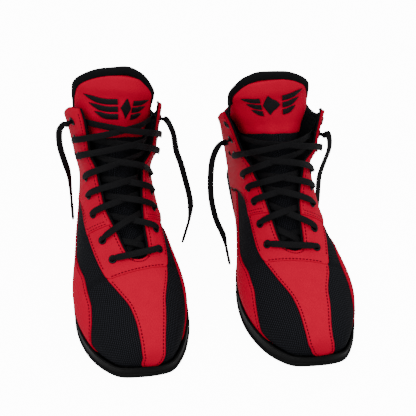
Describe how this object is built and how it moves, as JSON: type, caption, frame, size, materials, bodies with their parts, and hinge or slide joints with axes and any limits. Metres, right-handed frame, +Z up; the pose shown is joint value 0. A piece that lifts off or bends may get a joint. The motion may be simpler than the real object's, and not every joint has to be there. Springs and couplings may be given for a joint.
{
  "type": "pair of boxing boots",
  "caption": "Pair of laced ankle-high boxing boots in red synthetic leather over black mesh, with thin rubber outsoles, a long padded tongue and crossed flat laces.",
  "frame": {"origin": "on the ground, in the middle of the pair's bounding box without the loose lace ends", "axes": "+Z up, toes towards -Y and a little to +X, boot a on the -X side and boot b on the +X side"},
  "size_m": [0.2687, 0.3043, 0.2094],
  "materials": {
    "rubber_sole": "matt moulded rubber",
    "insole_board": "plain fibre board",
    "footbed_foam": "brushed cloth on foam",
    "air_mesh": "matt knitted air mesh",
    "lining_fabric": "matt lining cloth",
    "red_leather": "satin synthetic leather, fine grain, tonal stitching",
    "black_leather": "satin synthetic leather",
    "black_binding": "padded binding tape",
    "tongue_mesh": "matt ribbed mesh",
    "eyelet_black": "black satin",
    "emblem_thread": "embroidery thread, slight sheen",
    "lace_black": "matt braided flat lace",
    "aglet_plastic": "black film"
  },
  "bodies": {
    "boot_a": {"outsole_a": "rubber_sole", "insole_board_a": "insole_board", "footbed_a": "footbed_foam", "vamp_mesh_a": "air_mesh", "lining_a": "lining_fabric", "vamp_stripe_a": "red_leather", "vamp_eyestay_a": "red_leather", "quarter_lateral_a": "red_leather", "quarter_medial_a": "red_leather", "eyelets_lateral_a": "eyelet_black", "eyelets_medial_a": "eyelet_black", "side_panel_lateral_a": "red_leather", "side_panel_medial_a": "red_leather", "heel_panel_a": "red_leather", "backstay_a": "black_leather", "collar_binding_a": "black_binding", "lace_a": "lace_black", "lace_end_lateral_a": "lace_black", "lace_end_medial_a": "lace_black", "aglet_lateral_a": "aglet_plastic", "aglet_medial_a": "aglet_plastic"},
    "boot_b": {"outsole_b": "rubber_sole", "insole_board_b": "insole_board", "footbed_b": "footbed_foam", "vamp_mesh_b": "air_mesh", "lining_b": "lining_fabric", "vamp_stripe_b": "red_leather", "vamp_eyestay_b": "red_leather", "quarter_lateral_b": "red_leather", "quarter_medial_b": "red_leather", "eyelets_lateral_b": "eyelet_black", "eyelets_medial_b": "eyelet_black", "side_panel_lateral_b": "red_leather", "side_panel_medial_b": "red_leather", "heel_panel_b": "red_leather", "backstay_b": "black_leather", "collar_binding_b": "black_binding", "lace_b": "lace_black", "lace_end_lateral_b": "lace_black", "lace_end_medial_b": "lace_black", "aglet_lateral_b": "aglet_plastic", "aglet_medial_b": "aglet_plastic"},
    "tongue_a": {"tongue_base_a": "tongue_mesh", "tongue_top_a": "red_leather", "tongue_binding_a": "black_binding", "tongue_emblem_a": "emblem_thread"},
    "tongue_b": {"tongue_base_b": "tongue_mesh", "tongue_top_b": "red_leather", "tongue_binding_b": "black_binding", "tongue_emblem_b": "emblem_thread"}
  },
  "joints": [
    {"name": "tongue_a_bend", "type": "hinge", "parent": "boot_a", "child": "tongue_a", "pos_m": [-0.07088, -0.0845, 0.053], "axis": [0.9898, 0.1426, 0], "range_deg": [-8, 0], "stiffness_Nm_per_rad": 0.3, "springref_deg": 5.73},
    {"name": "boot_b_lift", "type": "slide", "parent": "boot_a", "child": "boot_b", "axis": [0, 0, 1], "range_m": [0, 0.12]},
    {"name": "tongue_b_bend", "type": "hinge", "parent": "boot_b", "child": "tongue_b", "pos_m": [0.08051, -0.07257, 0.053], "axis": [0.991, 0.134, 0], "range_deg": [-8, 0], "stiffness_Nm_per_rad": 0.3, "springref_deg": 5.73}
  ]
}
